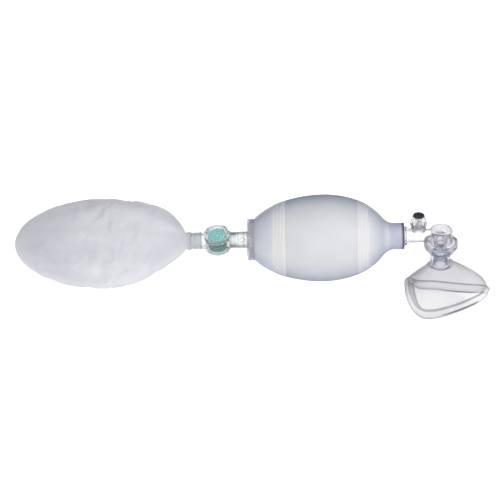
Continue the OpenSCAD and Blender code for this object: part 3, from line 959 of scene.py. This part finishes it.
VIEW_AZIMUTH = -0.44             # degrees; lengths from here on are in metres
VIEW_ELEVATION = 34.68
VIEW_ROLL = 4.69
VIEW_DISTANCE = 2.116
VIEW_TARGET = Vector((-0.0083, 0, 0.0743))
LENS = 100                       # millimetres, like the sensor
SENSOR = 36
FLOOR_HALF = 6.0
FLOOR_DROP = 0.0006
FLOOR_GLOW = 0.55
SKY_LOW = (0.16, 0.17, 0.20)
SKY_MIDDLE = (0.36, 0.38, 0.42)
SKY_HIGH = (0.92, 0.94, 0.97)
SKY_STOPS = (0.0, 0.28, 0.75)
SKY_POWER = 0.7
LAMPS = (                        # name, place, target, size, power in watts
    ("key", (-0.3, -1.6, 1.9), (0, 0, 0.05), (1.6, 1.2), 16),
    ("fill", (1.6, -0.9, 1.2), (0.1, 0, 0.05), (1.0, 1.0), 13),
    ("top", (0, 0.3, 2.2), (0, 0, 0), (2.2, 1.4), 8),
)


def add_camera():
    """The photograph's view."""
    a, e, roll = (math.radians(v) for v in (VIEW_AZIMUTH, VIEW_ELEVATION, VIEW_ROLL))
    back = Vector((math.sin(a) * math.cos(e), -math.cos(a) * math.cos(e), math.sin(e)))
    right = (-back).cross(Vector((0, 0, 1))).normalized()
    up = back.cross(right)
    turned = right * math.cos(roll) + up * math.sin(roll)
    top = up * math.cos(roll) - right * math.sin(roll)
    data = bpy.data.cameras.new("camera")
    data.lens = LENS
    data.sensor_width = SENSOR
    camera = bpy.data.objects.new("camera", data)
    bpy.context.scene.collection.objects.link(camera)
    turn = Matrix((turned, top, back)).transposed().to_4x4()
    camera.matrix_world = Matrix.Translation(VIEW_TARGET + back * VIEW_DISTANCE) @ turn
    bpy.context.scene.camera = camera


def add_floor():
    """A pale table under the device."""
    half = FLOOR_HALF
    corners = [(-half, -half, 0), (half, -half, 0), (half, half, 0), (-half, half, 0)]
    mesh = bpy.data.meshes.new("floor")
    mesh.from_pydata(corners, [], [(0, 1, 2, 3)])
    floor = bpy.data.objects.new("floor", mesh)
    floor.location.z = CAD_BOX[0].z - FLOOR_DROP
    bpy.context.scene.collection.objects.link(floor)
    mat = make_material("floor_white", (0.93, 0.93, 0.93), Roughness=0.9)
    bsdf = mat.node_tree.nodes["Principled BSDF"]
    bsdf.inputs["Emission Color"].default_value = (1, 1, 1, 1)
    bsdf.inputs["Emission Strength"].default_value = FLOOR_GLOW
    mesh.materials.append(mat)


def add_area(name, place, target, size, power):
    """A rectangular lamp turned towards its target."""
    data = bpy.data.lights.new(name, "AREA")
    data.shape = "RECTANGLE"
    data.size, data.size_y = size
    data.energy = power
    light = bpy.data.objects.new(name, data)
    light.location = place
    light.rotation_euler = (Vector(target) - Vector(place)).to_track_quat("-Z", "Y").to_euler()
    bpy.context.scene.collection.objects.link(light)


def add_world():
    """Pale surroundings, darker low down so that clear edges draw a line."""
    world = bpy.data.worlds.new("studio")
    world.use_nodes = True
    tree = world.node_tree
    coords = tree.nodes.new("ShaderNodeTexCoord")
    split = tree.nodes.new("ShaderNodeSeparateXYZ")
    ramp = tree.nodes.new("ShaderNodeValToRGB")
    stops = ramp.color_ramp.elements
    low, middle, high = SKY_STOPS
    stops[0].position = low
    stops[0].color = (*SKY_LOW, 1)
    stops[1].position = high
    stops[1].color = (*SKY_HIGH, 1)
    stops.new(middle).color = (*SKY_MIDDLE, 1)
    tree.links.new(coords.outputs["Generated"], split.inputs["Vector"])
    tree.links.new(split.outputs["Z"], ramp.inputs["Fac"])
    tree.links.new(ramp.outputs["Color"], tree.nodes["Background"].inputs["Color"])
    tree.nodes["Background"].inputs["Strength"].default_value = SKY_POWER
    bpy.context.scene.world = world


def add_stage():
    add_camera()
    add_floor()
    add_world()
    for lamp in LAMPS:
        add_area(*lamp)
    bpy.context.scene.view_settings.view_transform = "Standard"


# ---- build ---------------------------------------------------------------------------------

add_stage()
dress_cad()
build_bag()
build_reservoir()
build_dome()
build_cushion()
build_crease_shadows()
build_skirt_ribs()
shorten_spring()
build_flap_rings()
build_tube_rings()
build_collar_grip()
